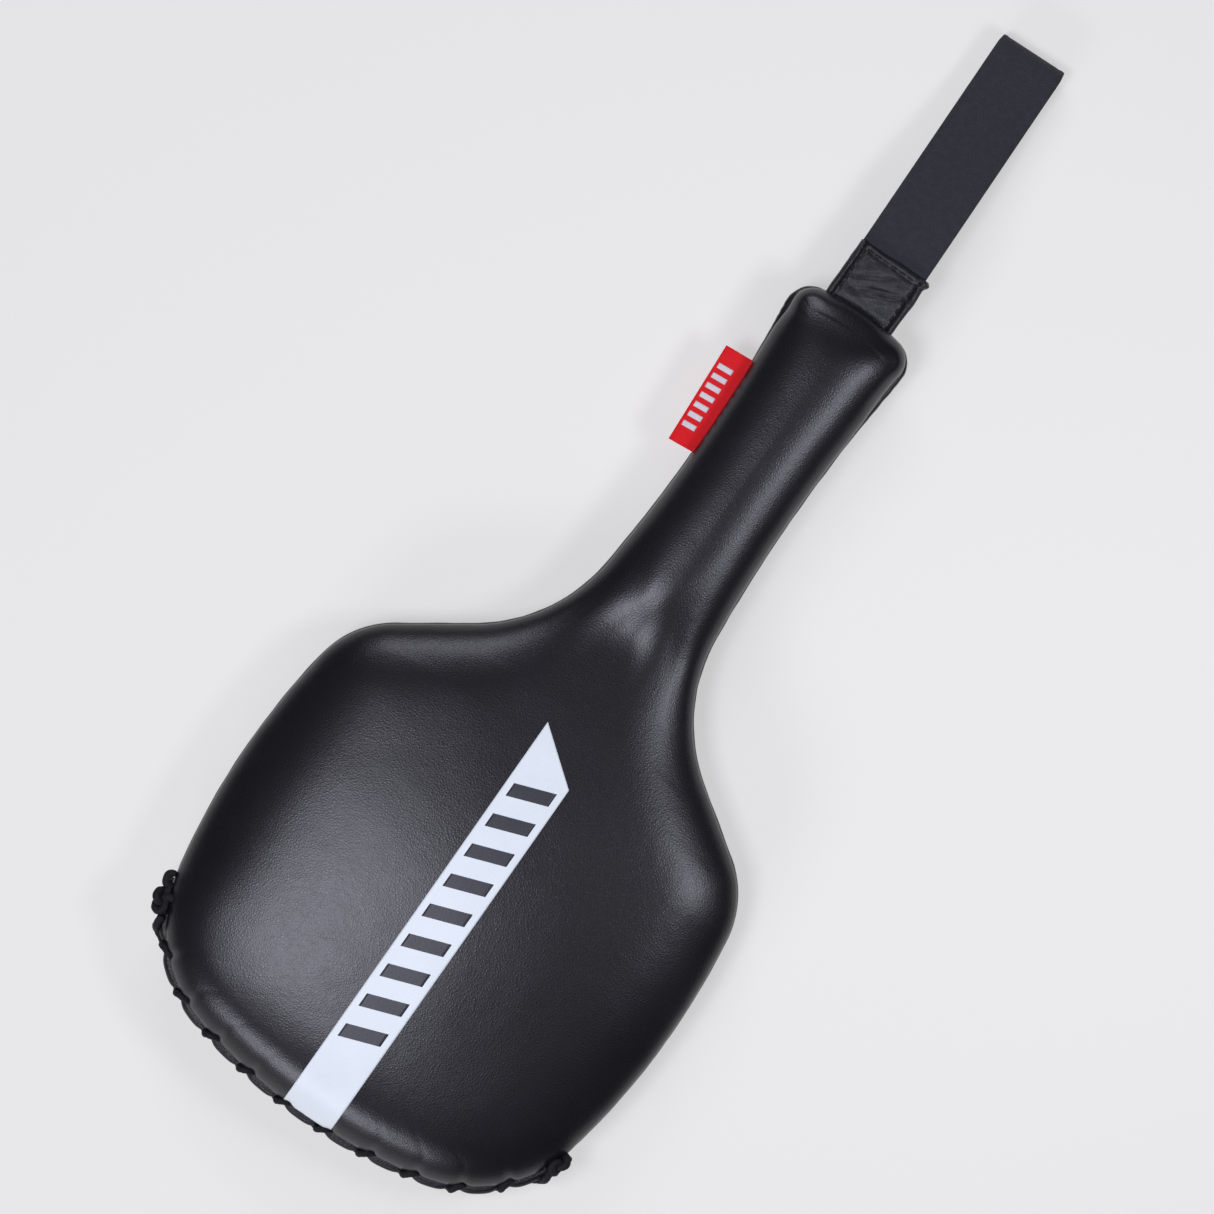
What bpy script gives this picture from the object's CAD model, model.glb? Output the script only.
"""Looks of the kick paddle: padded covers, hems, lace, strap, patch, tag and print.

Lengths are in millimetres until a mesh is made, and the frame is the CAD model's:
+Z out of the printed face, +Y towards the strap, origin on the flat back under the head.
"""
import math
import bmesh
import bpy
import numpy as np
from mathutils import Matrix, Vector, noise


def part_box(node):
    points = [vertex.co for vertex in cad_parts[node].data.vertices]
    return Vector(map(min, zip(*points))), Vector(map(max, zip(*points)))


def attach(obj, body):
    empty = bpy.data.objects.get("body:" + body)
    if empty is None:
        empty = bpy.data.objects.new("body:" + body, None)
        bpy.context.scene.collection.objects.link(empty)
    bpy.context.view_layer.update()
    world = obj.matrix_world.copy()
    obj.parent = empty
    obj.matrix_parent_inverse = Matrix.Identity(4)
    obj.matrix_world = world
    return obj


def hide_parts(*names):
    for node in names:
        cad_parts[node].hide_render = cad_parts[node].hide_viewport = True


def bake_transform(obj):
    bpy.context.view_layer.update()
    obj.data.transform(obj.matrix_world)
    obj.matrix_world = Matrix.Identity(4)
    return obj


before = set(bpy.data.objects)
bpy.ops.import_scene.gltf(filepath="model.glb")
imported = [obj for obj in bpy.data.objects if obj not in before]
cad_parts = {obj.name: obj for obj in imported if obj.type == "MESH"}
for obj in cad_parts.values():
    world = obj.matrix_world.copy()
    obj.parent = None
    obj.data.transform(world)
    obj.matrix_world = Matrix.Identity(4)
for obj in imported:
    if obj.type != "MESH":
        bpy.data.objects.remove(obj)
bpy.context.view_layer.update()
MM = 0.001


def node_box(name):
    """A CAD node's lowest and highest corner in millimetres."""
    low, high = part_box(name)
    return np.array(low) / MM, np.array(high) / MM


# ---- sizes from the frame

cover_low, cover_high = node_box("front_cover")
SEAM = cover_low[2]
HALF = cover_high[2] - SEAM
LACED_END = cover_low[1]
HANDLE_END = cover_high[1]
strap_low, strap_high = node_box("wrist_strap")
patch_low, patch_high = node_box("strap_patch_front")
tag_low, tag_high = node_box("side_tag")
stripe_low, stripe_high = node_box("face_stripe")

# ---- the outline

# (radius, turn in degrees), or (None, length) for a straight run, from the middle of the
# laced end round the right side to the handle's end; a negative turn is hollow
OUTLINE = [
    (220.0, 14.2),
    (58.0, 64.4),
    (293.0, 20.2),
    (40.0, 46.4),
    (None, 31.8),
    (70.0, -50.0),
    (640.0, -9.7),
    (None, 19.1),
    (10.5, 84.0),
]


def outline_table():
    """Start of each run: travel, x, y and heading, with the last arc worked out to close it."""
    rows = []
    travel, x, y, heading = 0.0, 0.0, LACED_END, 0.0
    for radius, amount in OUTLINE:
        rows.append((travel, x, y, heading, radius, amount))
        travel, x, y, heading = advance(travel, x, y, heading, radius, amount)
    closing_turn = 180.0 - heading
    closing_radius = x / math.sin(math.radians(heading))
    rows.append((travel, x, y, heading, closing_radius, closing_turn))
    travel += closing_radius * math.radians(closing_turn)
    return rows, travel


def advance(travel, x, y, heading, radius, amount):
    """The end of one run of the outline."""
    h = math.radians(heading)
    if radius is None:
        return travel + amount, x + amount * math.cos(h), y + amount * math.sin(h), heading
    turn = math.radians(amount)
    side = math.copysign(1.0, amount)
    x += side * radius * (math.sin(h + turn) - math.sin(h))
    y -= side * radius * (math.cos(h + turn) - math.cos(h))
    return travel + radius * abs(turn), x, y, heading + amount


RUNS, HALF_ROUND = outline_table()


def rim(travels):
    """Points on the outline and outward normals; travel 0 is the laced end, positive right."""
    travels = np.atleast_1d(np.asarray(travels, float))
    s = np.clip(np.abs(travels), 0, HALF_ROUND)
    x = np.zeros_like(s)
    y = np.zeros_like(s)
    h = np.zeros_like(s)
    for start, x0, y0, heading, radius, amount in RUNS:
        here = s >= start
        along = s[here] - start
        h0 = math.radians(heading)
        if radius is None:
            x[here] = x0 + along * math.cos(h0)
            y[here] = y0 + along * math.sin(h0)
            h[here] = h0
        else:
            side = math.copysign(1.0, amount)
            turn = side * along / radius
            x[here] = x0 + side * radius * (np.sin(h0 + turn) - math.sin(h0))
            y[here] = y0 - side * radius * (np.cos(h0 + turn) - math.cos(h0))
            h[here] = h0 + turn
    mirror = np.where(travels < 0, -1.0, 1.0)
    points = np.stack([x * mirror, y], 1)
    normals = np.stack([np.sin(h) * mirror, -np.cos(h)], 1)
    return points, normals


def rim_place(travel, outward, height):
    """A point beside the rim, in millimetres, height counted from the seam."""
    points, normals = rim([travel])
    x, y = points[0] + normals[0] * outward
    return np.array([x, y, SEAM + height])


# ---- small mathematics


def smooth(value, low, high):
    """0 below low, 1 above high, smooth between."""
    t = np.clip((np.asarray(value, float) - low) / (high - low), 0, 1)
    return t * t * (3 - 2 * t)


def bump(value, middle, width):
    """A bell of height 1."""
    return np.exp(-(((np.asarray(value, float) - middle) / width) ** 2))


def wave_noise(x, y, z, size, seed):
    """Smooth noise of about plus or minus 1 with features of the given size."""
    offset = Vector((seed * 17.3, seed * 5.1, seed * 9.7))
    places = np.stack(np.broadcast_arrays(x, y, z), -1).reshape(-1, 3) / size
    values = [noise.noise(Vector(p) + offset) for p in places]
    return np.array(values).reshape(np.broadcast_shapes(np.shape(x), np.shape(y), np.shape(z)))


# ---- lacing places

WRAPS = 10
WRAP_PITCH = 19.4
FIRST_WRAP = -86.5
WRAP_SLANT = 4.8
LACE_RADIUS = 1.75
wrap_travels = FIRST_WRAP + WRAP_PITCH * np.arange(WRAPS)
LACING_LEFT, LACING_RIGHT = -118.0, 118.0
LEFT_KNOT, RIGHT_KNOT = -107.0, 110.5


def in_lacing(travel):
    """1 along the laced end, 0 along the sewn seam."""
    return smooth(travel, LACING_LEFT - 5, LACING_LEFT + 3) * (
        1 - smooth(travel, LACING_RIGHT - 3, LACING_RIGHT + 5)
    )


def wrap_pull(travel):
    """How hard the lace pulls the leather in, 1 where a turn goes into it."""
    pull = np.zeros_like(np.asarray(travel, float))
    for start in wrap_travels:
        pull += bump(travel, start + WRAP_SLANT / 2 - 0.4, 1.9)
    return pull


# ---- shape of the padding

NECK_Y = 124.0
EDGE_RISE = 2.6
HEAD_SHOULDER = 13.8
HANDLE_FULL = 17.2
HANDLE_STARTS = 134.0
ROLL_WIDE, ROLL_NARROWER, ROLL_LACED = 34.0, 8.5, 15.0
ROLL_POWER = 2.6
END_CORNER = 4.5
HEAD_CROWN = 11.3
CROWN_Y = -8.0
CROWN_HALF = 104.0
CROWN_TO_LACE, CROWN_TO_NECK = 205.0, 124.0
CROWN_SETTLES = 44.0
CREASE_X, CREASE_Y = 15.0, 130.0
CREASE_ALONG, CREASE_ACROSS = 0.75, 0.66
handle_side, _ = rim(np.linspace(HALF_ROUND - 110, HALF_ROUND - 38, 60))


def handle_half_width(y):
    """Half the handle's width at y, held at its last value round the end's corner."""
    return np.interp(y, handle_side[:, 1], handle_side[:, 0])


def pad_height(x, y, depth, front):
    """Height of the leather above the seam plane at depth mm in from the outline."""
    spread = 13.0 + 25.0 * smooth(np.abs(x + 3), 2, 16)
    on_handle = smooth(y, HANDLE_STARTS - spread, HANDLE_STARTS + spread)
    head_full = HEAD_SHOULDER if front else HALF
    full = head_full + (HANDLE_FULL - head_full) * on_handle
    narrow = smooth(y, 92, 150)
    laced = smooth(-y, 30, 82)
    roll = ROLL_WIDE - ROLL_NARROWER * narrow - ROLL_LACED * laced
    power = ROLL_POWER - 0.55 * narrow - 0.2 * laced
    # the side's and the end's rolls run into each other softly at the handle's end
    end_gap = HANDLE_END - y
    side_gap = handle_half_width(y) - np.abs(x)
    corner = -END_CORNER * np.logaddexp(-end_gap / END_CORNER, -side_gap / END_CORNER)
    at_end = smooth(y, 215, 240) * smooth(depth, 1, 6)
    depth = depth + (np.maximum(corner, 0.6) - depth) * at_end
    u = np.clip(depth / roll, 0, 1)
    height = EDGE_RISE + (full - EDGE_RISE) * np.sqrt(np.clip(1 - (1 - u) ** power, 0, 1))
    inner = smooth(depth, 2, 20)
    if front:
        # the head is stuffed a little proud, and the padding sinks across the neck
        reach = np.where(y < CROWN_Y, CROWN_TO_LACE, CROWN_TO_NECK)
        along = np.cos(np.clip((y - CROWN_Y) / reach, -1, 1) * math.pi / 2) ** 1.2
        crown = np.clip(1 - (x / CROWN_HALF) ** 2, 0, 1) * along
        settled = 1 - (1 - np.clip(depth / CROWN_SETTLES, 0, 1)) ** 3
        height += HEAD_CROWN * crown * settled
        height -= 0.7 * bump(y, NECK_Y, 10) * inner
        # a short slanting crease where the handle's right side meets the head
        slant = (x - CREASE_X) * CREASE_ALONG + (y - CREASE_Y) * CREASE_ACROSS
        across = (x - CREASE_X) * CREASE_ACROSS - (y - CREASE_Y) * CREASE_ALONG
        height -= 0.8 * bump(slant, 0, 3.4) * bump(across, 0, 9) * inner
    else:
        height -= 1.5 * bump(y, 141, 20) * inner
        height = np.minimum(height, SEAM - smooth(y, 116, 170) * 1.5)
    return height


def unevenness(x, y):
    """The small waves of stuffed leather."""
    return 0.11 * wave_noise(x, y, 0, 24.0, 11) + 0.03 * wave_noise(x, y, 0, 8.0, 12)


# the tucked edge, from inside out: distance in from the outline, rise above the seam
TUCK = [(3.4, 0.35), (2.0, 0.40), (1.0, 0.62), (0.40, 1.10), (0.10, 1.85)]
LEATHER_THICK = 1.3
LACING_LIFT = 1.2
PULL_IN, PULL_DOWN = 0.75, 0.7
ROLL_STEPS = 18
ROLL_DEPTH = 9.4
INNER_STEPS = 34
SPINE_LOW, SPINE_HIGH = -46.0, 256.0


def roll_depths(steps):
    """Depths in from the outline over the rolled edge, closest together at the outline."""
    angles = np.linspace(0, 1, steps)
    return ROLL_DEPTH * (1 - np.cos(angles * math.pi / 2)) ** 1.35


def cover_columns():
    """Travel values right round the outline, closer together along the lacing."""
    right = [0.0]
    while right[-1] < HALF_ROUND - 1.0:
        fine = right[-1] < LACING_RIGHT + 4 or right[-1] > HALF_ROUND - 50
        right.append(right[-1] + (0.75 if fine else 1.35))
    right[-1] = HALF_ROUND
    right = np.array(right)
    return np.concatenate([-right[-2:0:-1], right])


def spine_y(y):
    """Where a ray from the rim ends on the middle line."""
    low = SPINE_LOW + 0.16 * (y - SPINE_LOW)
    high = SPINE_HIGH + 0.22 * (y - SPINE_HIGH)
    return np.where(y < SPINE_LOW, low, np.where(y > SPINE_HIGH, high, y))


def depth_of(points):
    """Distance of points from the outline, measured to a fine polygon of it."""
    loop, _ = rim(np.linspace(-HALF_ROUND, HALF_ROUND, 1200))
    a, b = loop[:-1], loop[1:]
    along = b - a
    length2 = (along**2).sum(1)
    result = np.empty(len(points))
    for first in range(0, len(points), 4000):
        p = points[first:first + 4000, None, :]
        t = np.clip(((p - a) * along).sum(2) / length2, 0, 1)
        gap = p - (a + along * t[..., None])
        result[first:first + 4000] = np.sqrt((gap**2).sum(2)).min(1)
    return result


def link_object(name, data):
    """A new object of the scene that holds a mesh, a light or a camera."""
    thing = bpy.data.objects.new(name, data)
    bpy.context.scene.collection.objects.link(thing)
    return thing


def make_mesh(name, vertices, faces):
    """A Blender object from millimetre vertices, with doubles merged."""
    mesh = bpy.data.meshes.new(name)
    mesh.from_pydata([tuple(v) for v in np.asarray(vertices) * MM], [], faces)
    work = bmesh.new()
    work.from_mesh(mesh)
    bmesh.ops.remove_doubles(work, verts=work.verts, dist=0.00002)
    bmesh.ops.dissolve_degenerate(work, edges=work.edges, dist=0.000002)
    bmesh.ops.recalc_face_normals(work, faces=work.faces)
    work.to_mesh(mesh)
    work.free()
    mesh.shade_smooth()
    return link_object(name, mesh)


def grid_faces(rows, columns, closed_rows=False, closed_columns=False):
    """Quads of a grid of vertices numbered row by row."""
    faces = []
    for r in range(rows if closed_rows else rows - 1):
        for c in range(columns if closed_columns else columns - 1):
            r2, c2 = (r + 1) % rows, (c + 1) % columns
            faces.append((r * columns + c, r * columns + c2, r2 * columns + c2, r2 * columns + c))
    return faces


def closed_sheet(name, top, bottom):
    """A thin solid between two grids of points, closed along all four edges."""
    loop = np.concatenate([top, bottom[::-1]], 0)
    rows, columns = loop.shape[:2]
    faces = grid_faces(rows, columns, closed_rows=True)
    for end in (0, columns - 1):
        for near in range(len(top) - 1):
            far = rows - 1 - near
            corners = (near, near + 1, far - 1, far)
            faces.append(tuple(row * columns + end for row in corners))
    return make_mesh(name, loop.reshape(-1, 3), faces)


def cover_rows(front):
    """The rings of a cover from its tucked edge to the middle line: x, y, height above seam."""
    s = cover_columns()
    edge, normal = rim(s)
    lacing = in_lacing(s)
    pull = wrap_pull(s)
    seed = 1 if front else 2
    ruffle = wave_noise(edge[:, 0], edge[:, 1], 0, 7.0, seed)
    fine_ruffle = wave_noise(edge[:, 0], edge[:, 1], 3.0, 2.6, seed + 4)
    butt = bump(edge[:, 1], 262, 13)
    right_butt = butt * (edge[:, 0] > 0)
    left_butt = bump(edge[:, 1], 268, 8) * (edge[:, 0] < 0)
    if front:
        proud = -1.1 * right_butt - 1.3 * left_butt + 0.10 * ruffle * (1 - lacing)
    else:
        proud = 0.55 + 0.25 * right_butt + 0.5 * left_butt - 0.5 * lacing
        proud += (0.18 * ruffle + 0.2 * fine_ruffle * (butt + left_butt)) * (1 - lacing)
    proud += 0.25 * lacing * (1 - np.minimum(pull, 1) * 2)
    rows = []
    mouth = bump(edge[:, 0], PATCH_MIDDLE, 17) * (edge[:, 1] > HANDLE_END - 8)
    lift = mouth * 2.6 + lacing * LACING_LIFT
    for inward, rise in TUCK:
        reach = inward * (1 - 0.2 * mouth)
        flat = edge + normal * (proud - reach)[:, None]
        wiggle = 0.12 * ruffle * (1 - lacing) * math.exp(-inward)
        rows.append((flat, rise + lift * (1.0 if inward < 1.5 else 0.9) + wiggle, reach))
    for depth in roll_depths(ROLL_STEPS):
        fade = math.exp(-depth / 3.5)
        inset = depth - proud * math.exp(-depth / 6.0)
        inset = inset + PULL_IN * pull * lacing * math.exp(-depth / 2.2)
        flat = edge - normal * inset[:, None]
        height = pad_height(flat[:, 0], flat[:, 1], np.full(len(s), depth), front)
        height += lift * fade
        height -= PULL_DOWN * pull * lacing * math.exp(-depth / 3.0) * (0.3 + 0.7 * (depth > 0.2))
        height += 0.22 * ruffle * fade * (1 - lacing)
        height += 0.35 * left_butt * fine_ruffle * math.exp(-depth / 5.0)
        rows.append((flat, height, np.full(len(s), depth)))
    last = rows[-1][0]
    target = np.stack([np.zeros(len(s)), spine_y(edge[:, 1])], 1)
    for step in np.linspace(0, 1, INNER_STEPS + 1)[1:]:
        flat = last + (target - last) * step
        depth = depth_of(flat)
        height = pad_height(flat[:, 0], flat[:, 1], depth, front)
        rows.append((flat, height, depth))
    return s, rows


def soften(heights, reach):
    """Averages a ring's heights along the ring, over reach columns to each side."""
    kernel = np.hanning(2 * reach + 3)[1:-1]
    kernel /= kernel.sum()
    padded = np.concatenate([heights[-reach:], heights, heights[:reach]])
    return np.convolve(padded, kernel, mode="valid")


def make_cover(name, front):
    """One padded cover: its crowned outside, tucked edge, and closed inner face."""
    s, rows = cover_rows(front)
    columns = len(s)
    vertices = []
    sign = 1 if front else -1
    for index, (flat, height, depth) in enumerate(rows):
        if index > len(TUCK) + 6:
            # the handle's end keeps its shape, the rest is evened along the ring
            kept = smooth(flat[:, 1], 205, 232)
            evened = soften(height, 3 if index < len(TUCK) + ROLL_STEPS else 9)
            height = height * kept + (1 - kept) * evened
        vertices.append(np.column_stack([flat, SEAM + sign * height]))
    outer = np.concatenate(vertices)
    depth = np.concatenate([np.asarray(d) * np.ones(columns) for _, _, d in rows])
    if front:
        outer[:, 2] += unevenness(outer[:, 0], outer[:, 1]) * smooth(depth, 1, 12)
    else:
        outer[:, 2] = np.maximum(outer[:, 2], 0.02)
    # the inner face, leather's thickness inside, closes the shell
    inside = outer.copy()
    inside[:, 2] = SEAM + sign * np.maximum(np.abs(outer[:, 2] - SEAM) - LEATHER_THICK, 0.12)
    _, normal = rim(s)
    for ring in range(len(rows)):
        part = slice(ring * columns, (ring + 1) * columns)
        draw = LEATHER_THICK * np.exp(-depth[part] / 7.0)
        inside[part, :2] -= normal * draw[:, None]
    vertices = np.concatenate([outer, inside])
    count = len(rows) * columns
    faces = grid_faces(len(rows), columns, closed_columns=True)
    faces += [tuple(v + count for v in f[::-1]) for f in faces]
    for c in range(columns):
        c2 = (c + 1) % columns
        faces.append((c, c2, count + c2, count + c))
    return make_mesh(name, vertices, faces)


def grid_piece(name, grid, closed_columns=False, cap=False, uv_size=None):
    """A piece from a rows by columns grid of points, with a UV map in millimetres if asked."""
    grid = np.asarray(grid, float)
    rows, columns = grid.shape[:2]
    faces = grid_faces(rows, columns, closed_columns=closed_columns)
    mesh = bpy.data.meshes.new(name)
    if cap:
        faces.append(tuple(range(columns))[::-1])
        faces.append(tuple(range((rows - 1) * columns, rows * columns)))
    mesh.from_pydata([tuple(v) for v in grid.reshape(-1, 3) * MM], [], faces)
    if uv_size:
        across, along = uv_size
        layer = mesh.uv_layers.new(name="UVMap")
        for face in mesh.polygons:
            corners = list(face.loop_indices)
            ids = [mesh.loops[loop].vertex_index for loop in corners]
            cols = [i % columns for i in ids]
            wraps = closed_columns and max(cols) - min(cols) > 1 and len(ids) == 4
            for loop, i in zip(corners, ids):
                column = i % columns
                if wraps and column == 0:
                    column = columns
                span = columns if closed_columns else columns - 1
                layer.data[loop].uv = (across * column / span, along * (i // columns) / (rows - 1))
    work = bmesh.new()
    work.from_mesh(mesh)
    bmesh.ops.recalc_face_normals(work, faces=work.faces)
    work.to_mesh(mesh)
    work.free()
    mesh.shade_smooth()
    return link_object(name, mesh)


def join(name, pieces):
    """Several pieces made into one."""
    for piece in bpy.context.selected_objects:
        piece.select_set(False)
    for piece in pieces:
        piece.select_set(True)
    bpy.context.view_layer.objects.active = pieces[0]
    bpy.ops.object.join()
    pieces[0].name = name
    pieces[0].data.name = name
    return pieces[0]


def rounded(points, times=4):
    """A smooth line that cuts the corners of a run of points, its ends kept."""
    points = np.asarray(points, float)
    for _ in range(times):
        a, b = points[:-1], points[1:]
        cut = np.stack([a * 0.75 + b * 0.25, a * 0.25 + b * 0.75], 1).reshape(-1, 3)
        points = np.concatenate([points[:1], cut[1:-1], points[-1:]])
    return points


def even(points, step):
    """The same line with points step apart, and its length."""
    points = np.asarray(points, float)
    lengths = np.sqrt((np.diff(points, axis=0) ** 2).sum(1))
    run = np.concatenate([[0], np.cumsum(lengths)])
    count = max(int(run[-1] / step), 2)
    want = np.linspace(0, run[-1], count)
    return np.stack([np.interp(want, run, points[:, k]) for k in range(3)], 1), run[-1]


def directions(path):
    """Unit vectors along a path at each of its points."""
    tangent = np.gradient(path, axis=0)
    return tangent / np.linalg.norm(tangent, axis=1)[:, None]


def carried_frames(path):
    """Two unit vectors across a path at each point, carried along without twist."""
    tangent = directions(path)
    first = np.cross(tangent[0], [0.31, 0.12, 0.94])
    first /= np.linalg.norm(first)
    ups = [first]
    for t in tangent[1:]:
        up = ups[-1] - t * np.dot(ups[-1], t)
        ups.append(up / np.linalg.norm(up))
    ups = np.array(ups)
    return ups, np.cross(tangent, ups)


# ---- materials


class Shader:
    """A node material with its principled shader, and short ways to add nodes."""

    def __init__(self, name, colour, roughness, specular=0.5, sheen=0.0):
        self.material = bpy.data.materials.new(name)
        self.material.use_nodes = True
        self.tree = self.material.node_tree
        self.surface = self.tree.nodes["Principled BSDF"]
        self.set(self.surface, "Base Color", (*colour, 1))
        self.set(self.surface, "Roughness", roughness)
        self.set(self.surface, "Specular IOR Level", specular)
        self.set(self.surface, "Sheen Weight", sheen)
        self.coordinates = self.tree.nodes.new("ShaderNodeTexCoord")

    @staticmethod
    def set(node, socket, value):
        node.inputs[socket].default_value = value

    def add(self, kind, **values):
        """Adds a node; a value is a number, a colour, an output socket or a property."""
        node = self.tree.nodes.new("ShaderNode" + kind)
        for key, value in values.items():
            if hasattr(node, key) and key not in node.inputs:
                setattr(node, key, value)
                continue
            self.put(node.inputs[key.replace("_", " ")], value)
        return node

    def put(self, socket, value):
        if isinstance(value, bpy.types.NodeSocket):
            self.tree.links.new(value, socket)
        else:
            socket.default_value = value

    def noise(self, size_mm, detail, rough):
        node = self.add("TexNoise", Scale=1.0 / (size_mm * MM), Detail=detail, Roughness=rough)
        self.put(node.inputs["Vector"], self.coordinates.outputs["Object"])
        return node.outputs["Fac"]

    def math(self, operation, a, b=0.0):
        node = self.add("Math", operation=operation)
        self.put(node.inputs[0], a)
        self.put(node.inputs[1], b)
        return node.outputs[0]

    def mix(self, a, b, share):
        """The sum of a times share and b times the rest."""
        return self.math("ADD", self.math("MULTIPLY", a, share), self.math("MULTIPLY", b, 1 - share))

    def ramp(self, factor, stops):
        node = self.add("ValToRGB")
        self.put(node.inputs["Fac"], factor)
        elements = node.color_ramp.elements
        while len(elements) < len(stops):
            elements.new(0.5)
        for element, (place, colour) in zip(elements, stops):
            element.position = place
            element.color = (*colour, 1)
        return node.outputs["Color"]

    def span(self, factor, low, high):
        node = self.add("MapRange")
        self.put(node.inputs["Value"], factor)
        self.put(node.inputs["To Min"], low)
        self.put(node.inputs["To Max"], high)
        return node.outputs["Result"]

    def relief(self, height, depth_mm, below=None):
        node = self.add("Bump", Distance=depth_mm * MM, Strength=1.0)
        self.put(node.inputs["Height"], height)
        if below is not None:
            self.put(node.inputs["Normal"], below)
        return node.outputs["Normal"]

    def finish(self, colour, roughness, normal):
        for socket, value in (("Base Color", colour), ("Roughness", roughness), ("Normal", normal)):
            self.put(self.surface.inputs[socket], value)
        return self.material


def leather(name, dark, light, roughness, grain, depth, specular=0.5):
    """Soft synthetic leather: fine creased pebbles, a few longer creases, uneven gloss."""
    m = Shader(name, light, roughness, specular)
    warp_noise = m.add("TexNoise", Scale=1 / (3.2 * MM), Detail=2.0)
    m.put(warp_noise.inputs["Vector"], m.coordinates.outputs["Object"])
    stretch = m.add("VectorMath", operation="SCALE")
    m.put(stretch.inputs[0], warp_noise.outputs["Color"])
    m.put(stretch.inputs["Scale"], 1.1 * MM)
    warped = m.add("VectorMath", operation="ADD")
    m.put(warped.inputs[0], m.coordinates.outputs["Object"])
    m.put(warped.inputs[1], stretch.outputs[0])
    cells = m.add("TexVoronoi", feature="DISTANCE_TO_EDGE", Scale=1 / (grain * MM))
    m.put(cells.inputs["Vector"], warped.outputs[0])
    pebbles = m.add("MapRange", interpolation_type="SMOOTHSTEP")
    m.put(pebbles.inputs["Value"], cells.outputs["Distance"])
    m.put(pebbles.inputs["From Max"], 0.42)
    fine = m.noise(0.45, 2.0, 0.6)
    broad = m.noise(9.0, 3.0, 0.55)
    patches = m.noise(45.0, 2.0, 0.5)
    colour = m.ramp(m.mix(patches, broad, 0.6), [(0.35, dark), (0.68, light)])
    gloss = m.span(m.mix(broad, pebbles.outputs[0], 0.5), roughness + 0.04, roughness - 0.03)
    normal = m.relief(broad, depth * 1.6)
    normal = m.relief(fine, depth * 0.15, normal)
    normal = m.relief(pebbles.outputs[0], depth, normal)
    return m.finish(colour, gloss, normal)


def woven(name, dark, light, warp_mm, weft_mm, depth, roughness, sheen):
    """Woven threads on a UV map in millimetres, each row shifted by half a thread."""
    m = Shader(name, light, roughness, 0.3, sheen)
    split = m.add("SeparateXYZ")
    m.put(split.inputs[0], m.coordinates.outputs["UV"])
    u, v = split.outputs[0], split.outputs[1]
    tau = 2 * math.pi
    row = m.math("MULTIPLY", v, tau / weft_mm)
    column = m.math("ADD", m.math("MULTIPLY", u, tau / warp_mm), m.math("MULTIPLY", row, 0.5))
    weft = m.math("ABSOLUTE", m.math("SINE", m.math("MULTIPLY", row, 0.5)))
    warp = m.math("SINE", column)
    threads = m.math("MULTIPLY", m.math("ADD", m.math("MULTIPLY", warp, 0.5), 0.5), weft)
    slub = m.noise(2.5, 2.0, 0.6)
    colour = m.ramp(m.mix(threads, slub, 0.7), [(0.15, dark), (0.85, light)])
    normal = m.relief(slub, depth * 0.6)
    normal = m.relief(threads, depth, normal)
    return m.finish(colour, m.span(slub, roughness - 0.06, roughness + 0.06), normal)


def plain(name, dark, light, roughness, size_mm, depth):
    """A simple even material, such as foam, moulded board or print."""
    m = Shader(name, light, roughness, 0.4)
    speckle = m.noise(size_mm, 4.0, 0.6)
    broad = m.noise(size_mm * 14, 2.0, 0.5)
    colour = m.ramp(m.mix(speckle, broad, 0.5), [(0.3, dark), (0.7, light)])
    gloss = m.span(speckle, roughness - 0.05, roughness + 0.05)
    return m.finish(colour, gloss, m.relief(speckle, depth))


COVER_LEATHER = leather("cover_leather", (0.0045, 0.0046, 0.0065), (0.008, 0.0082, 0.011), 0.325, 1.1, 0.026)
HEM_LEATHER = leather("hem_leather", (0.004, 0.0043, 0.006), (0.007, 0.0074, 0.010), 0.38, 0.8, 0.05, 0.35)
PATCH_LEATHER = leather("patch_leather", (0.005, 0.0053, 0.0075), (0.0105, 0.011, 0.0145), 0.40, 0.7, 0.05)
STRAP_ELASTIC = woven(
    "strap_elastic", (0.011, 0.0115, 0.015), (0.068, 0.069, 0.082), 0.66, 0.66, 0.15, 0.75, 0.1
)
LACE_CORD = woven("lace_cord", (0.0025, 0.0028, 0.004), (0.009, 0.0096, 0.014), 0.9, 0.9, 0.10, 0.7, 0.0)
TAG_RIBBON = woven("tag_ribbon", (0.66, 0.0004, 0.004), (0.92, 0.001, 0.008), 0.34, 0.30, 0.04, 0.6, 0.0)
TAG_THREAD = woven("tag_thread", (0.62, 0.60, 0.60), (0.92, 0.90, 0.90), 0.34, 0.45, 0.06, 0.65, 0.1)
PATCH_THREAD = plain("patch_thread", (0.004, 0.004, 0.006), (0.010, 0.010, 0.013), 0.6, 0.4, 0.05)
STRIPE_PRINT = plain("stripe_print", (0.79, 0.865, 0.87), (0.85, 0.92, 0.93), 0.42, 1.0, 0.05)
MOTIF_PRINT = plain("motif_print", (0.034, 0.035, 0.042), (0.048, 0.049, 0.058), 0.40, 1.0, 0.05)
BOARD = plain("board", (0.02, 0.02, 0.022), (0.04, 0.04, 0.045), 0.5, 1.5, 0.05)
DENSE_FOAM = plain("dense_foam", (0.05, 0.05, 0.055), (0.10, 0.10, 0.11), 0.9, 0.8, 0.2)
SOFT_FOAM = plain("soft_foam", (0.12, 0.12, 0.13), (0.22, 0.22, 0.23), 0.95, 1.4, 0.3)


def dress(piece, material):
    """Gives the whole piece one material."""
    piece.data.materials.clear()
    piece.data.materials.append(material)
    return piece


def settle(piece, material, body, node):
    """A finished piece that rides one body in a CAD node's place."""
    dress(piece, material)
    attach(piece, body)
    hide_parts(node)
    return piece


def repaint(node, material):
    """Better material on a CAD node that stays."""
    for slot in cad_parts[node].material_slots:
        slot.material = material


# ---- covers

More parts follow.
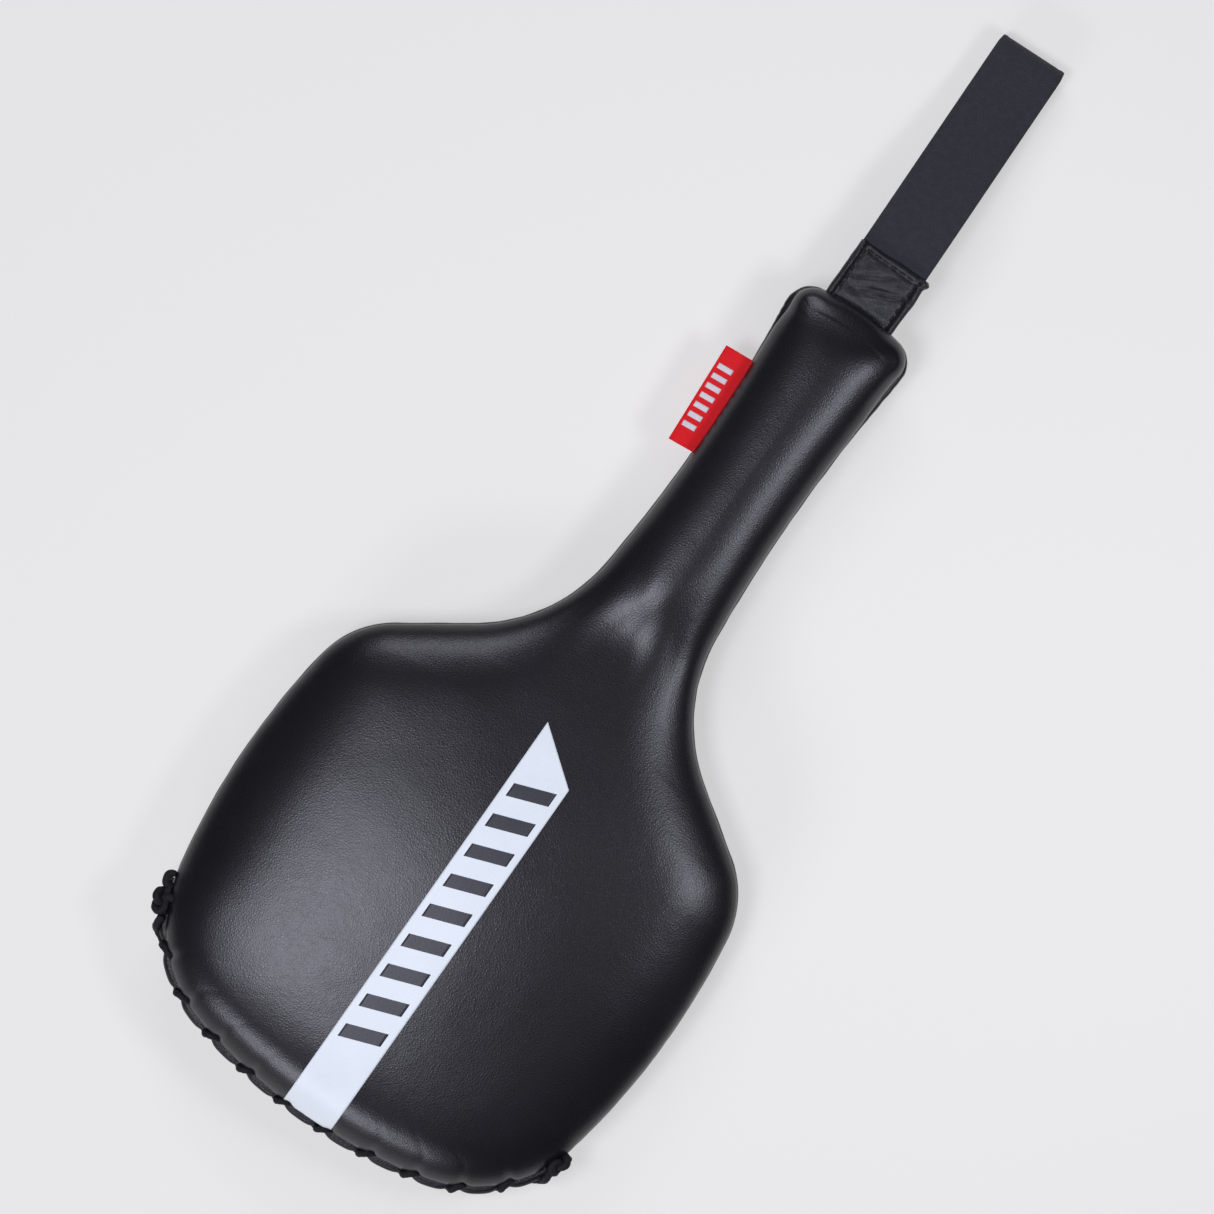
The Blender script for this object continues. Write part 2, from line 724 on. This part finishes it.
PATCH_MIDDLE = (patch_low[0] + patch_high[0]) / 2

for cover_name, is_front in (("front_cover", True), ("back_cover", False)):
    cover = make_cover(cover_name + "_leather", is_front)
    settle(cover, COVER_LEATHER, "paddle", cover_name)

# ---- stuffing


RIM_GAP = 4.8
SKIN_GAP = 2.0


def stuffing(name, low, high, low_y, high_y, front):
    """A foam layer between two heights above the seam, under the leather."""
    travels = np.linspace(-HALF_ROUND, HALF_ROUND, 360)[:-1]
    edge, normal = rim(travels)
    target = np.stack([np.zeros(len(travels)), spine_y(edge[:, 1])], 1)
    start = edge - normal * RIM_GAP
    sign = 1 if front else -1
    top, bottom = [], []
    for step in np.concatenate([np.linspace(0, 0.25, 8), np.linspace(0.3, 1, 12)]):
        flat = start + (target - start) * step
        under_skin = pad_height(flat[:, 0], flat[:, 1], depth_of(flat), front) - SKIN_GAP
        lower = np.minimum(low, under_skin - 0.2)
        upper = np.maximum(np.minimum(under_skin, high), lower + 0.1)
        top.append(np.column_stack([flat, SEAM + sign * upper]))
        bottom.append(np.column_stack([flat, SEAM + sign * lower]))
    rings = bottom[::-1] + top
    columns = len(travels)
    faces = grid_faces(len(rings), columns, closed_columns=True)
    piece = make_mesh(name, np.concatenate(rings), faces)
    work = bmesh.new()
    work.from_mesh(piece.data)
    for y, keep_below in ((high_y, True), (low_y, False)):
        geometry = work.verts[:] + work.edges[:] + work.faces[:]
        cut = bmesh.ops.bisect_plane(
            work, geom=geometry, plane_co=(0, y * MM, 0), plane_no=(0, 1, 0),
            clear_outer=keep_below, clear_inner=not keep_below,
        )
        edges = [e for e in cut["geom_cut"] if isinstance(e, bmesh.types.BMEdge)]
        if edges:
            bmesh.ops.contextual_create(work, geom=edges)
    bmesh.ops.recalc_face_normals(work, faces=work.faces)
    work.to_mesh(piece.data)
    work.free()
    return piece


foam_low = node_box("front_foam_dense")[0][2] - SEAM
foam_split = node_box("front_foam_pad")[0][2] - SEAM
foam_top = cover_high[2]
below_head = LACED_END - 80.0
head_foam_end = node_box("front_foam_pad")[1][1]
handle_start, handle_stop = head_foam_end + 0.3, patch_low[1] - 22.0
for side_name, is_front in (("front", True), ("back", False)):
    dense, pad, handle = f"{side_name}_foam_dense", f"{side_name}_foam_pad", f"handle_foam_{side_name}"
    for node, low, high, low_y, high_y, material, slot in (
        (dense, foam_low, foam_split, below_head, head_foam_end, DENSE_FOAM, "dense_foam"),
        (pad, foam_split + 0.05, foam_top, below_head, head_foam_end, SOFT_FOAM, "soft_foam"),
        (handle, foam_low, foam_top, handle_start, handle_stop, SOFT_FOAM, "handle_foam"),
    ):
        foam = stuffing(node + "_shape", low, high, low_y, high_y, is_front)
        settle(foam, material, "paddle", node)
repaint("core_board", BOARD)
repaint("strap_anchor_tab", PATCH_LEATHER)

# ---- hems

HEM_END = 115.5


def make_hem(name, front):
    """A rolled leather edge that stands out past the cover and is drawn in at each turn of lace."""
    travels = np.arange(-HEM_END, HEM_END + 0.1, 0.6)
    edge, normal = rim(travels)
    sign = 1 if front else -1
    squeeze = np.zeros(len(travels))
    for start in wrap_travels:
        squeeze += bump(travels, start - WRAP_SLANT / 2 + 1.0, 3.6)
    ends = smooth(np.abs(travels), HEM_END, HEM_END - 5)
    wander = 0.18 * wave_noise(edge[:, 0], edge[:, 1], 0, 11.0, 21 if front else 22)
    outer = 3.1 - 1.9 * squeeze + wander + (0.45 if not front else 0.0)
    inner = np.full(len(travels), -1.9)
    middle = (outer + inner) / 2
    half_width = (outer - inner) / 2 * (0.35 + 0.65 * ends)
    half_height = (1.30 - 0.25 * squeeze) * (0.5 + 0.5 * ends)
    rise = 1.38 + 0.3 * wander
    around = 20
    grid = np.empty((len(travels), around, 3))
    for k in range(around):
        angle = 2 * math.pi * k / around
        c, s = math.cos(angle), math.sin(angle)
        # a seam groove runs along the roll's outside
        groove = 1 - 0.16 * math.exp(-((angle - 0.55) / 0.22) ** 2)
        out = middle + half_width * np.sign(c) * abs(c) ** 0.8 * groove
        up = rise + half_height * np.sign(s) * abs(s) ** 0.8 * groove
        grid[:, k, :2] = edge + normal * out[:, None]
        grid[:, k, 2] = SEAM + sign * up
    return grid_piece(name, grid, closed_columns=True, cap=True)


for side_name, is_front in (("front", True), ("back", False)):
    hem = make_hem(f"{side_name}_hem_roll", is_front)
    settle(hem, HEM_LEATHER, "paddle", f"{side_name}_lace_hem")

# ---- lace and knots

LACE_OUTER, LACE_INNER = 1.75, -0.75
LACE_HEIGHT = 4.2
BRAID_PITCH = 3.2
BRAID_STRANDS = 4


def braided_tube(name, path, radius, step=0.33, around=22):
    """A cord with a braided surface: two sets of strands that cross over and under."""
    path, length = even(path, step)
    up, side = carried_frames(path)
    along = np.linspace(0, length, len(path))[:, None]
    angle = 2 * math.pi * np.arange(around)[None, :] / around
    phase = 2 * math.pi * along / BRAID_PITCH
    right = np.abs(np.cos(BRAID_STRANDS * angle / 2 + phase / 2))
    left = np.abs(np.cos(BRAID_STRANDS * angle / 2 - phase / 2))
    over = 0.5 + 0.5 * np.sin(BRAID_STRANDS * angle) * np.sin(phase)
    surface = radius * (0.84 + 0.16 * (right * over + left * (1 - over)) ** 0.7)
    taper = np.ones_like(along)
    taper[:3, 0] = (0.45, 0.75, 0.93)
    taper[-3:, 0] = (0.93, 0.75, 0.45)
    surface = surface * taper
    grid = (
        path[:, None, :]
        + up[:, None, :] * (surface * np.cos(angle))[..., None]
        + side[:, None, :] * (surface * np.sin(angle))[..., None]
    )
    round_length = 2 * math.pi * radius
    return grid_piece(name, grid, closed_columns=True, cap=True, uv_size=(round_length, length))


def lace_points():
    """The lace's route: from the left knot, round both hems ten times, to the right knot."""
    points = [
        rim_place(LEFT_KNOT + 6.5, 1.6, 6.6),
        rim_place(LEFT_KNOT + 10.5, 4.2, LACE_HEIGHT),
        rim_place(LEFT_KNOT + 12.0, 4.4, -LACE_HEIGHT),
    ]
    for start in wrap_travels:
        edge_side, hole_side = start - WRAP_SLANT / 2, start + WRAP_SLANT / 2
        points += [
            rim_place(edge_side - 0.4, LACE_OUTER, -LACE_HEIGHT),
            rim_place(edge_side, LACE_OUTER + 0.5, 0),
            rim_place(edge_side, LACE_OUTER, LACE_HEIGHT),
            rim_place(hole_side, LACE_INNER, LACE_HEIGHT),
            rim_place(hole_side + 0.4, LACE_INNER - 0.6, 0),
            rim_place(hole_side + 0.4, LACE_INNER, -LACE_HEIGHT),
        ]
    points += [
        rim_place(RIGHT_KNOT - 9.0, 4.4, -LACE_HEIGHT),
        rim_place(RIGHT_KNOT - 7.5, 4.2, LACE_HEIGHT),
        rim_place(RIGHT_KNOT - 4.0, 1.8, 6.6),
    ]
    return points


lace = braided_tube("closure_lace_cord", rounded(lace_points(), 3), LACE_RADIUS)
settle(lace, LACE_CORD, "paddle", "closure_lace")


def overhand(middle, along, out, size, tails=1.0):
    """Points of an overhand knot, a trefoil with its ends led out along the line."""
    third = np.cross(along, out)
    points = []
    for t in np.linspace(0.35, 2 * math.pi - 0.35, 60):
        a = (math.sin(t) + 2 * math.sin(2 * t)) * size
        b = (math.cos(t) - 2 * math.cos(2 * t)) * size
        c = -math.sin(3 * t) * size * 1.05
        points.append(middle + along * a + out * b + third * c)
    start = middle - along * size * 3.6 * tails + out * size * -0.6
    end = middle + along * size * 3.6 * tails + out * size * -0.6
    return [start] + points + [end]


def rim_frame(travel):
    """Unit vectors along the rim, outward and up."""
    ahead, behind = rim_place(travel + 1, 0, 0), rim_place(travel - 1, 0, 0)
    along = (ahead - behind) / np.linalg.norm(ahead - behind)
    up = np.array([0, 0, 1.0])
    return along, np.cross(along, up), up


def knot_left():
    """The lace's start: a small loop, then an overhand knot pressed against the leather."""
    along, out, up = rim_frame(LEFT_KNOT + 1)
    middle = rim_place(LEFT_KNOT + 1, 1.9, 6.0)
    path = overhand(middle, along, out, 1.5)
    loop_middle = rim_place(LEFT_KNOT - 7.6, 1.1, 5.0)
    loop = []
    for t in np.linspace(-0.5, 1.25 * math.pi, 16):
        rise = out * 1.9 * math.sin(t) + up * 0.5 * math.sin(t)
        loop.append(loop_middle + along * 2.7 * math.cos(t) + rise)
    return rounded(loop[::-1] + path, 2)


def knot_right():
    """The lace's end: an overhand knot seen on edge, with a cut stub."""
    along, _, up = rim_frame(RIGHT_KNOT)
    middle = rim_place(RIGHT_KNOT, 1.7, 5.0)
    return rounded(overhand(middle, along, up, 1.45, tails=1.05), 2)


for node, path in (("lace_knot_left", knot_left()), ("lace_knot_right", knot_right())):
    knot = braided_tube(node + "_cord", path, LACE_RADIUS * 0.98)
    settle(knot, LACE_CORD, "paddle", node)

# ---- print on the face

PRINT_LIFT, PRINT_SUNK = 0.22, 0.6
PRINT_STEPS, PRINT_ROLL_STEPS = 260, 70
STRIPE_LEFT, STRIPE_RIGHT = stripe_low[0], stripe_high[0]
STRIPE_TIP = stripe_high[1]
STRIPE_NOTCH = STRIPE_TIP - 17.5
NEAR_LACED_END = 60.0
motif_low, motif_high = node_box("stripe_motif")


def printed_sheet(name, x_values, top_of, bottom_of, lift):
    """A thin printed layer laid on the front cover between two edges."""
    columns = []
    for x in x_values:
        end_y = LACED_END + x * x / (2 * OUTLINE[0][0])
        high, low = top_of(x), bottom_of(x)
        if low < end_y + 0.5:
            roll = roll_depths(PRINT_ROLL_STEPS)
            rest = np.linspace(roll[-1], high - end_y, PRINT_STEPS - PRINT_ROLL_STEPS + 1)[1:]
            depth_y = np.concatenate([roll, rest])
        else:
            depth_y = np.linspace(low, high, PRINT_STEPS) - end_y
        columns.append(np.stack([np.full(PRINT_STEPS, x), end_y + depth_y, depth_y], 1))
    grid = np.array(columns)
    flat = grid[:, :, :2].reshape(-1, 2)
    from_end = grid[:, :, 2].reshape(-1)
    depth = np.where(from_end < NEAR_LACED_END, from_end, depth_of(flat))
    height = pad_height(flat[:, 0], flat[:, 1], depth, True)
    height = height + LACING_LIFT * np.exp(-depth / 3.5)
    height = height + unevenness(flat[:, 0], flat[:, 1]) * smooth(depth, 1, 12)
    surface = np.column_stack([flat, SEAM + height]).reshape(len(x_values), PRINT_STEPS, 3)
    normal = np.cross(np.gradient(surface, axis=0), np.gradient(surface, axis=1))
    normal /= np.linalg.norm(normal, axis=2)[..., None]
    pull = wrap_pull(grid[:, :, 0]) * np.exp(-grid[:, :, 2] / 2.2)
    surface[:, :, 1] += PULL_IN * pull
    surface[:, :, 2] -= PULL_DOWN * pull
    return closed_sheet(name, surface + normal * lift, surface - normal * PRINT_SUNK)


def stripe_top(x):
    """The stripe's slanting upper edge."""
    share = (x - STRIPE_LEFT) / (STRIPE_RIGHT - STRIPE_LEFT)
    return STRIPE_TIP + (STRIPE_NOTCH - STRIPE_TIP) * share


def stripe_bottom(x):
    """The stripe runs under the lacing, so it ends past the cover's edge."""
    return LACED_END - 10.0


stripe_x = np.linspace(STRIPE_LEFT, STRIPE_RIGHT, 26)
stripe = printed_sheet("face_stripe_print", stripe_x, stripe_top, stripe_bottom, PRINT_LIFT)
settle(stripe, STRIPE_PRINT, "paddle", "face_stripe")

BARS = 9
BAR_RISE, BAR_HEIGHT = 6.0, 6.0
bar_space = (motif_high[1] - motif_low[1] - BAR_RISE - BAR_HEIGHT) / (BARS - 1)


def bar_edges(index):
    """The upper and the lower edge of one leaning bar of the printed pattern."""
    start = motif_low[1] + bar_space * index

    def low_edge(x):
        return start + BAR_RISE * (x - motif_low[0]) / (motif_high[0] - motif_low[0])

    def high_edge(x):
        return low_edge(x) + BAR_HEIGHT

    return high_edge, low_edge


bar_x = np.linspace(motif_low[0], motif_high[0], 16)
bars = [printed_sheet(f"bar_{i}", bar_x, *bar_edges(i), PRINT_LIFT + 0.07) for i in range(BARS)]
motif = join("stripe_motif_print", bars)
settle(motif, MOTIF_PRINT, "paddle", "stripe_motif")

# ---- hinge patch

PATCH_THICK = 1.2
ROOT_HALF = 1.4
STITCH_PITCH = 3.9
STITCH_MARGIN = 3.4
STITCH_END = 2.4
patch_left, patch_right = patch_low[0], patch_high[0]
patch_bottom, patch_top = patch_low[1] - 2.6, patch_high[1]


def patch_surface(x, y, front):
    """Height above the seam of the patch leather's outside: raised border, wrinkles, pucker."""
    x, y = np.asarray(x, float), np.asarray(y, float)
    level = ROOT_HALF + PATCH_THICK
    side = np.minimum(x - patch_left, patch_right - x)
    top_gap = patch_top - y
    height = np.full(np.broadcast(x, y).shape, level)
    height = height + 1.0 * bump(side, 1.5, 1.2) + 0.95 * bump(top_gap, 1.2, 0.95)
    line = np.minimum(np.abs(side - STITCH_MARGIN), np.abs(top_gap - STITCH_END - 0.4))
    pucker = 0.5 + 0.5 * np.cos(2 * math.pi * (y + 0.3 * x) / STITCH_PITCH)
    height = height - 0.42 * bump(line, 0, 0.8) - 0.16 * pucker * bump(line, 0, 2.0)
    height = height + 0.12 * pucker * bump(side, 1.5, 1.4)
    if front:
        rising = (y - 291.5) - 0.42 * (x + 1)
        height = height - 0.95 * bump(rising, 0, 1.4) * bump(x, 1, 8)
        height = height + 0.75 * bump(rising, -3.2, 1.7) * bump(x, 4, 7)
        second = (y - 297.5) - 0.55 * (x + 3)
        height = height - 0.38 * bump(second, 0, 1.2) * bump(x, -4, 6)
        height = height + 0.3 * bump(second, -2.6, 1.4) * bump(x, -4, 6)
        third = (y - 287.0) + 0.3 * (x + 6)
        height = height - 0.35 * bump(third, 0, 1.1) * bump(x, -8, 5)
    else:
        rising = (y - 294.0) + 0.5 * (x + 1)
        height = height - 0.45 * bump(rising, 0, 1.5) * bump(x, -1, 8)
    height = height + 0.16 * wave_noise(x, y, 5.0 if front else 9.0, 3.6, 31)
    height = height - 0.5 * smooth(y, patch_bottom + 4.5, patch_bottom)
    return height


def patch_outline_shift(x, y, front):
    """Small sideways wander of the patch's cut edge, with a short ear at its top right."""
    wander = 0.28 * wave_noise(x, y, 2.0 if front else 7.0, 5.0, 33)
    ear = 1.5 * bump(y, patch_top - 0.8, 1.5) * smooth(x, patch_right - 4, patch_right)
    bulge = 0.6 * bump(y, 296, 7) * smooth(x, patch_right - 5, patch_right)
    return wander + ear + bulge


def make_patch(name, front):
    """Leather square over the strap's root, sewn along its sides and top."""
    sign = 1 if front else -1
    across, along = 84, 72
    xs = np.linspace(patch_left, patch_right, across)
    lean = 0.7 if front else 0.2
    top = np.empty((along, across, 3))
    top_edge = patch_top + lean * (xs - patch_left) / (patch_right - patch_left)
    for r, share in enumerate(np.linspace(0, 1, along)):
        y = patch_bottom + (top_edge - patch_bottom) * share
        shift = patch_outline_shift(xs, y, front)
        top[r, :, 0] = xs + shift
        top[r, :, 1] = y + 0.25 * wave_noise(xs, y, 4.0, 4.0, 35) * share
        top[r, :, 2] = patch_surface(xs, y, front)
    edge_drop = 0.45
    side = np.minimum(xs - patch_left, patch_right - xs)
    top[:, :, 2] -= edge_drop * np.exp(-side / 0.35)[None, :]
    shares = np.linspace(0, 1, along)[:, None]
    top[:, :, 2] -= edge_drop * np.exp(-(1 - shares) * (patch_top - patch_bottom) / 0.35)
    bottom = top.copy()
    floor = ROOT_HALF + 0.02
    bottom[:, :, 2] = np.maximum(top[:, :, 2] - PATCH_THICK, floor)
    top[:, :, 2] = np.maximum(top[:, :, 2], floor + 0.45)
    for layer in (top, bottom):
        layer[:, :, 2] = SEAM + sign * layer[:, :, 2]
    return closed_sheet(name, top, bottom)


for side_name, is_front in (("front", True), ("back", False)):
    patch = dress(make_patch(f"{side_name}_patch_leather", is_front), PATCH_LEATHER)
    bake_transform(patch)
    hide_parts(f"strap_patch_{side_name}")


def stitch(x, y, direction, front, length=2.7, radius=0.42):
    """One thread stitch lying in the leather, its ends dipping into their holes."""
    sign = 1 if front else -1
    count, around = 11, 8
    grid = np.empty((count, around, 3))
    for i, t in enumerate(np.linspace(-1, 1, count)):
        cx = x + direction[0] * t * length / 2
        cy = y + direction[1] * t * length / 2
        base = float(patch_surface(cx, cy, front))
        lift = base + 0.30 - 0.60 * abs(t) ** 4
        fat = radius * (1 - 0.45 * t ** 6)
        for k in range(around):
            a = 2 * math.pi * k / around
            twist = 1 + 0.14 * math.sin(2 * a + t * 9)
            sideways = fat * twist * math.cos(a)
            grid[i, k] = (
                cx - direction[1] * sideways,
                cy + direction[0] * sideways,
                SEAM + sign * (lift + fat * twist * math.sin(a) * 0.8),
            )
    return grid_piece("stitch", grid, closed_columns=True, cap=True)


def patch_stitches(front):
    """Places and directions of the stitches: up both sides and across the top."""
    pieces = []
    tops = patch_top - STITCH_END
    left, right = patch_left + STITCH_MARGIN, patch_right - STITCH_MARGIN
    for side_x in (left, right):
        y = tops - 1.6
        while y > patch_low[1] + 1.0:
            pieces.append(stitch(side_x, y, (0.05, 1.0), front))
            y -= STITCH_PITCH
    x = left + 2.0
    while x < right - 0.6:
        pieces.append(stitch(x, tops, (1.0, 0.03), front))
        x += STITCH_PITCH
    return pieces


threads = dress(join("patch_stitch_threads", patch_stitches(True) + patch_stitches(False)), PATCH_THREAD)
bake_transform(threads)
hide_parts("strap_patch_stitching")

# ---- wrist strap

STRAP_WIDE = strap_high[0] - strap_low[0]
WEBBING = 1.4
STRAP_LEAN = -0.0145
LEAN_FROM = 290.0
strap_middle = (strap_low[0] + strap_high[0]) / 2
STRAP_MEET = strap_low[1]
STRAP_FAR = strap_high[1]
STRAP_ROOT = 21.0
STRAP_REST = 0.72
FOLD_RADIUS = 5.3
SELVEDGE_ROUND = 62.0


def strap_line():
    """The loop's centre line as (y, z): out under the patch, round the fold, and back."""
    half = WEBBING / 2
    fold_y = STRAP_FAR - FOLD_RADIUS - half
    fold_z = STRAP_REST + FOLD_RADIUS
    points = [(STRAP_MEET - STRAP_ROOT, SEAM - half), (STRAP_MEET - 8, SEAM - half)]
    points += [(STRAP_MEET + 1, SEAM - half - 0.05)]
    points += [(325.0, 14.7), (342.0, 10.3), (360.0, 2.9), (374.0, 0.9), (386.0, STRAP_REST)]
    points.append((fold_y, STRAP_REST))
    for angle in np.radians(np.linspace(-80, 80, 17)):
        points.append((fold_y + FOLD_RADIUS * math.cos(angle), fold_z + FOLD_RADIUS * math.sin(angle)))
    points += [(fold_y, fold_z + FOLD_RADIUS), (388.0, 11.35), (374.0, 12.6)]
    points += [(358.0, 15.6), (342.0, 18.7), (325.0, 20.5), (STRAP_MEET + 1, SEAM + half + 0.05)]
    points += [(STRAP_MEET - 8, SEAM + half), (STRAP_MEET - STRAP_ROOT, SEAM + half)]
    line = np.array([(0.0, y, z) for y, z in points])
    return even(rounded(line, 4), 0.8)


def make_strap():
    """The flat woven loop, with a thicker rounded selvedge down both sides."""
    line, length = strap_line()
    tangent = directions(line)
    normal = np.column_stack([np.zeros(len(line)), tangent[:, 2], -tangent[:, 1]])
    half = STRAP_WIDE / 2
    flat = np.linspace(-1, 1, 41)
    top = np.stack([flat * (half - 0.5), np.full(41, 0.5)], 1)
    selvedge = bump(np.abs(top[:, 0]), half - 1.5, 0.8) * 0.14
    groove = bump(np.abs(top[:, 0]), half - 2.9, 0.5) * -0.10
    top[:, 1] += selvedge + groove
    round_end = [(half - 0.12, 0.40), (half, 0.0), (half - 0.12, -0.40)]
    ring = list(top) + [np.array(p) for p in round_end]
    ring += [np.array([x, -h]) for x, h in top[::-1]]
    ring += [np.array([-x, z]) for x, z in round_end[::-1]]
    ring = np.array(ring)
    grid = np.empty((len(line), len(ring), 3))
    for i, (place, out) in enumerate(zip(line, normal)):
        lean = STRAP_LEAN * (place[1] - LEAN_FROM)
        near_fold = smooth(place[1], STRAP_FAR - 5.0, STRAP_FAR)
        narrow = 1 - 0.035 * near_fold
        sag = 0.35 * math.sin(place[1] / 9.0) * smooth(place[1], 318, 345) * (1 - near_fold)
        edge_curl = 0.5 * smooth(place[1], 330, 380)
        for k, (across, thick) in enumerate(ring):
            share = across / half
            curl = edge_curl * (share * share) * (1 if place[2] < 9 else -0.6)
            tilt = 0.35 * share * sag
            lift = curl * (1 - near_fold) + tilt
            grid[i, k] = (
                strap_middle + 1.5 + lean + across * narrow,
                place[1] + out[1] * thick + 0.5 * share * near_fold,
                place[2] + out[2] * thick + lift,
            )
    grid[:, :, 2] = np.maximum(grid[:, :, 2], 0.03)
    size = (SELVEDGE_ROUND, length)
    return grid_piece("wrist_strap_webbing", grid, closed_columns=True, cap=True, uv_size=size), length


strap, strap_length = make_strap()
dress(strap, STRAP_ELASTIC)
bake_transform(strap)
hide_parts("wrist_strap")
repaint("strap_root_webbing", STRAP_ELASTIC)

# ---- side tag

TAG_LEAN = 0.055
TAG_GAP = 0.42
TAG_LAYER = 0.34
TAG_END_SLOPE = 0.085
tag_root_low, tag_root_high = node_box("tag_root")
mark_low, mark_high = node_box("tag_mark")
tag_middle_y = (tag_low[1] + tag_high[1]) / 2


def tag_place(x, y, height):
    """A point of the rippled, slightly leaning ribbon from its flat place."""
    outward = float(smooth(-x, 24.5, 36.0))
    ripple = 0.30 * math.sin((y - tag_middle_y) / 8.0) + 0.12 * math.sin(y / 3.1)
    lean = -TAG_LEAN * (y - tag_middle_y) * float(smooth(-x, 23.0, 34.0))
    return (x + lean, y + TAG_END_SLOPE * (x + 31.0), SEAM + height + ripple * outward)


def tag_section():
    """The folded ribbon's section: in the seam, out to the fold, and back into the seam."""
    fold_x = tag_low[0] + 1.35
    points = [(tag_root_high[0], 0.30), (tag_root_low[0] - 1.0, 0.34), (fold_x + 6, TAG_GAP + 0.12)]
    points += [(fold_x + 1.4, TAG_GAP + 0.10), (fold_x + 0.25, 0.36), (fold_x, 0.0)]
    return points + [(x, -z) for x, z in points[::-1][1:]]


def make_tag():
    """The red woven tag: a ribbon folded double and caught in the side seam."""
    section = np.array([(x, 0.0, z) for x, z in tag_section()])
    line, length = even(rounded(section, 3), 0.30)
    tangent = directions(line)
    normal = np.column_stack([-tangent[:, 2], np.zeros(len(line)), tangent[:, 0]])
    ring = np.concatenate([line + normal * TAG_LAYER / 2, (line - normal * TAG_LAYER / 2)[::-1]])
    ys = np.linspace(tag_low[1] + 0.6, tag_high[1] - 0.6, 120)
    grid = np.array([[tag_place(x, y, z) for x, _, z in ring] for y in ys])
    size = (2 * length, ys[-1] - ys[0])
    return grid_piece("side_tag_ribbon", grid, closed_columns=True, cap=True, uv_size=size), length


tag, tag_flat_width = make_tag()
dress(tag, TAG_RIBBON)
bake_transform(tag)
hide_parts("side_tag", "tag_root")

MARKS = 7
MARK_WIDE = 2.3


def mark_bar(y):
    """One white woven bar on the tag, a little proud of the ribbon."""
    xs = np.linspace(mark_low[0] - 0.6, mark_high[0] + 0.6, 9)
    top = TAG_GAP + 0.12 + TAG_LAYER / 2 + 0.07
    grid = []
    for share in np.linspace(-0.5, 0.5, 5):
        row = [tag_place(x, y + share * MARK_WIDE, top) for x in xs]
        row += [tag_place(x, y + share * MARK_WIDE, top - 0.3) for x in xs[::-1]]
        grid.append(row)
    return grid_piece("bar", np.array(grid), closed_columns=True, cap=True, uv_size=(10.0, MARK_WIDE))


mark_y = np.linspace(mark_low[1] + MARK_WIDE / 2, mark_high[1] - MARK_WIDE / 2, MARKS)
marks = join("tag_mark_bars", [mark_bar(y) for y in mark_y])
settle(marks, TAG_THREAD, "tag", "tag_mark")

# ---- floor, light and camera

VIEW_TURN = 35.0
VIEW_MIDDLE = (-0.0164, 0.1268)
VIEW_WIDTH = 0.4856
LENS, SENSOR = 185.0, 36.0
image_right = Vector((math.cos(math.radians(VIEW_TURN)), math.sin(math.radians(VIEW_TURN)), 0))
image_up = Vector((-image_right.y, image_right.x, 0))


def backdrop_floor():
    """A plain pale floor just under the paddle."""
    mesh = bpy.data.meshes.new("floor")
    side = 6.0
    corners = [(-side, -side, 0), (side, -side, 0), (side, side, 0), (-side, side, 0)]
    mesh.from_pydata(corners, [], [(0, 1, 2, 3)])
    floor = link_object("floor", mesh)
    floor.location.z = -0.0008
    pale = Shader("floor_pale", (0.40, 0.40, 0.37), 0.9, 0.0)
    pale.set(pale.surface, "Emission Color", (1, 1, 1, 1))
    pale.set(pale.surface, "Emission Strength", 0.47)
    mesh.materials.append(pale.material)
    return floor


backdrop_floor()
COOL = (0.87, 0.86, 1.0)


def soft_light(name, right, up, height, wide, tall, power):
    """A soft box placed by its offset across and up the picture, aimed at the paddle."""
    middle = Vector((VIEW_MIDDLE[0], VIEW_MIDDLE[1], 0.02))
    light = bpy.data.lights.new(name, "AREA")
    light.shape = "RECTANGLE"
    light.size = wide
    light.size_y = tall
    light.energy = power
    light.color = COOL
    lamp = link_object(name, light)
    lamp.location = middle + image_right * right + image_up * up + Vector((0, 0, height))
    direction = middle - lamp.location
    lamp.rotation_euler = direction.to_track_quat("-Z", "Y").to_euler()


soft_light("key_soft_box", -0.40, -0.15, 1.35, 0.40, 0.40, 8.8)
soft_light("right_strip", 0.43, -0.10, 0.58, 0.24, 0.14, 1.7)
soft_light("top_soft_box", 0.05, 1.45, 1.0, 1.0, 0.35, 9.0)
soft_light("low_fill", -0.95, -1.3, 0.8, 0.9, 0.3, 12.0)

world = bpy.data.worlds.new("studio")
world.use_nodes = True
background = world.node_tree.nodes["Background"]
background.inputs["Color"].default_value = (0.97, 0.98, 1.0, 1)
background.inputs["Strength"].default_value = 0.03
bpy.context.scene.world = world
bpy.context.scene.view_settings.view_transform = "Standard"

camera_data = bpy.data.cameras.new("camera")
camera_data.lens = LENS
camera_data.sensor_width = SENSOR
camera_data.clip_end = 50.0
camera = link_object("camera", camera_data)
distance = VIEW_WIDTH * LENS / SENSOR
camera.location = (VIEW_MIDDLE[0], VIEW_MIDDLE[1], SEAM * MM + distance)
camera.rotation_euler = (0, 0, math.radians(VIEW_TURN))
bpy.context.scene.camera = camera
